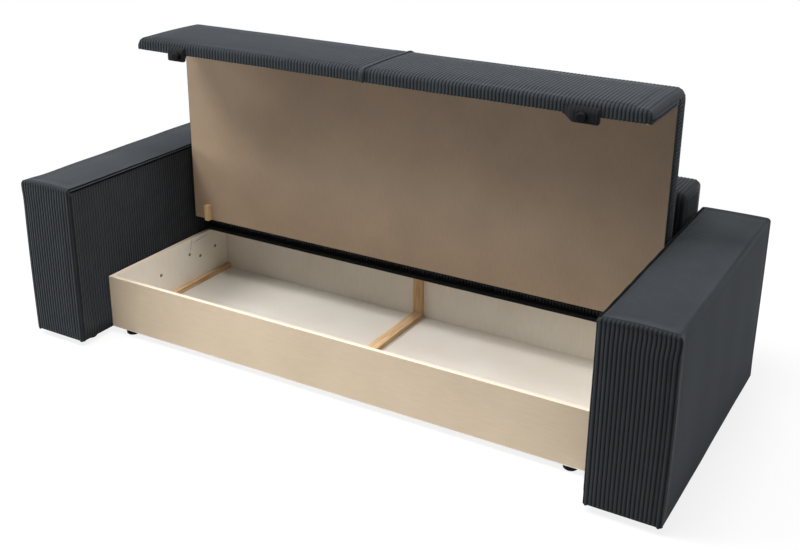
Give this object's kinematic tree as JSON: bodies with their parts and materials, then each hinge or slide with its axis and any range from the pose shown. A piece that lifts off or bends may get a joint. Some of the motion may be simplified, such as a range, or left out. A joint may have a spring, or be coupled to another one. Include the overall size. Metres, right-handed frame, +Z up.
{
  "type": "storage sofa with lift up seat",
  "caption": "Three-seat corduroy sofa with box arms and a low back; the seat and its hanging apron turn up on two side pivots over a board storage box on round feet",
  "frame": {"origin": "on the floor, midway between the two arms and midway between the arm fronts and the rear of the back", "axes": "+X to the sitter's left arm seen from the front's right, along the length; +Y to the back; +Z up"},
  "size_m": [2.48, 1.06, 1.1279],
  "materials": {
    "fabric": "dark slate corduroy with upright ribs about 13 mm apart, soft sheen",
    "raw_board": "beige particle board and hardboard, matt, fine speckle",
    "pale_board": "pale faced hardboard and particle board, matt",
    "pine": "planed pine battens, unfinished",
    "black_plastic": "black moulded feet",
    "dust_cloth": "thin black non-woven cloth",
    "steel": "zinc plated fittings"
  },
  "bodies": {
    "sofa_frame": {"arm_left_pad": "fabric", "arm_left_front_pad": "fabric", "arm_left_side_panels": "raw_board", "arm_left_end_boards": "raw_board", "arm_left_top_board": "raw_board", "arm_left_foot_rails": "pine", "arm_left_dust_cloth": "dust_cloth", "arm_left_feet": "black_plastic", "arm_right_pad": "fabric", "arm_right_front_pad": "fabric", "arm_right_side_panels": "raw_board", "arm_right_end_boards": "raw_board", "arm_right_top_board": "raw_board", "arm_right_foot_rails": "pine", "arm_right_dust_cloth": "dust_cloth", "arm_right_feet": "black_plastic", "box_front_board": "raw_board", "box_rear_board": "pale_board", "box_side_left": "pale_board", "box_side_right": "pale_board", "box_floor_left": "pale_board", "box_floor_right": "pale_board", "box_side_battens": "pine", "box_centre_batten": "pine", "box_rear_cleat": "pine", "box_feet": "black_plastic", "arm_bolts": "steel", "arm_bolt_nuts": "steel", "rear_cross_rail": "fabric", "rear_bolster": "fabric", "back_pad": "fabric", "back_front_panel": "raw_board", "back_rear_panel": "raw_board", "back_top_board": "raw_board", "back_uprights": "raw_board", "back_foot_rails": "pine", "back_dust_cloth": "dust_cloth", "back_feet": "black_plastic", "arm_pivot_plates": "steel", "pivot_pins": "steel", "pivot_nuts": "steel", "arm_plate_screws": "steel"},
    "seat": {"seat_underboard": "raw_board", "seat_long_rails": "pine", "seat_cross_rails": "pine", "seat_deck": "raw_board", "pivot_blocks": "pine", "seat_rest_battens": "pine", "apron_board": "raw_board", "apron_foot_pads": "fabric", "apron_feet": "black_plastic", "seat_pad_left": "fabric", "seat_pad_right": "fabric", "seat_welt": "fabric", "seat_pivot_plates": "steel", "seat_plate_screws": "steel"}
  },
  "joints": [
    {"name": "seat_lift", "type": "hinge", "parent": "sofa_frame", "child": "seat", "pos_m": [0, 0.1925, 0.3575], "axis": [1, 0, 0], "range_deg": [0, 90]}
  ]
}
